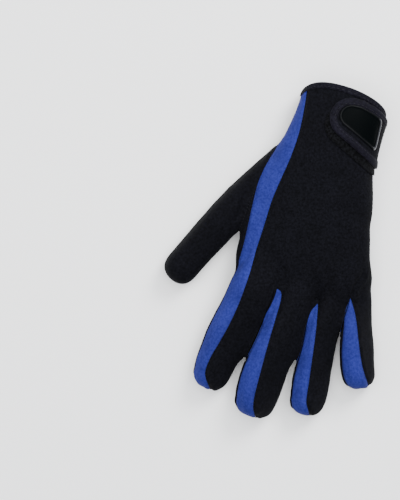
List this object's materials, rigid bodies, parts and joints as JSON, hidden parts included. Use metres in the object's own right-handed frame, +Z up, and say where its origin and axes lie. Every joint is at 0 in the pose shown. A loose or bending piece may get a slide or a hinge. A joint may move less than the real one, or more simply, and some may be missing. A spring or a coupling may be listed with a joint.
{
  "type": "diving glove",
  "caption": "Five-finger foam-cloth diving glove with side strips along the fingers, a taped cuff and a rounded wrist strap, empty and lying palm down.",
  "frame": {"origin": "on the surface that the palm rests on, under the middle of the palm and below the thumb's root", "axes": "+Z up out of the back of the hand, -Y towards the fingertips, +Y towards the cuff, -X towards the thumb"},
  "size_m": [0.162, 0.2403, 0.0414],
  "materials": {
    "black_cloth": "matt knitted nylon face on foam",
    "blue_cloth": "matt knitted nylon face on foam",
    "edge_tape": "folded elastic tape with a slight sheen",
    "strap_cloth": "matt knitted nylon face on foam",
    "loop_cloth": "fuzzy loop pile",
    "badge_rubber": "smooth, slightly glossy"
  },
  "bodies": {
    "root": {"back_panel": "black_cloth", "palm_panel": "black_cloth", "thumb_panel": "black_cloth", "index_side_strip": "blue_cloth", "fourchette_index_middle": "blue_cloth", "fourchette_middle_ring": "blue_cloth", "fourchette_ring_little": "blue_cloth", "little_side_strip": "blue_cloth", "cuff_tape": "edge_tape", "loop_patch": "loop_cloth", "wrist_strap": "strap_cloth", "strap_tape": "edge_tape", "strap_badge": "badge_rubber"}
  },
  "joints": []
}
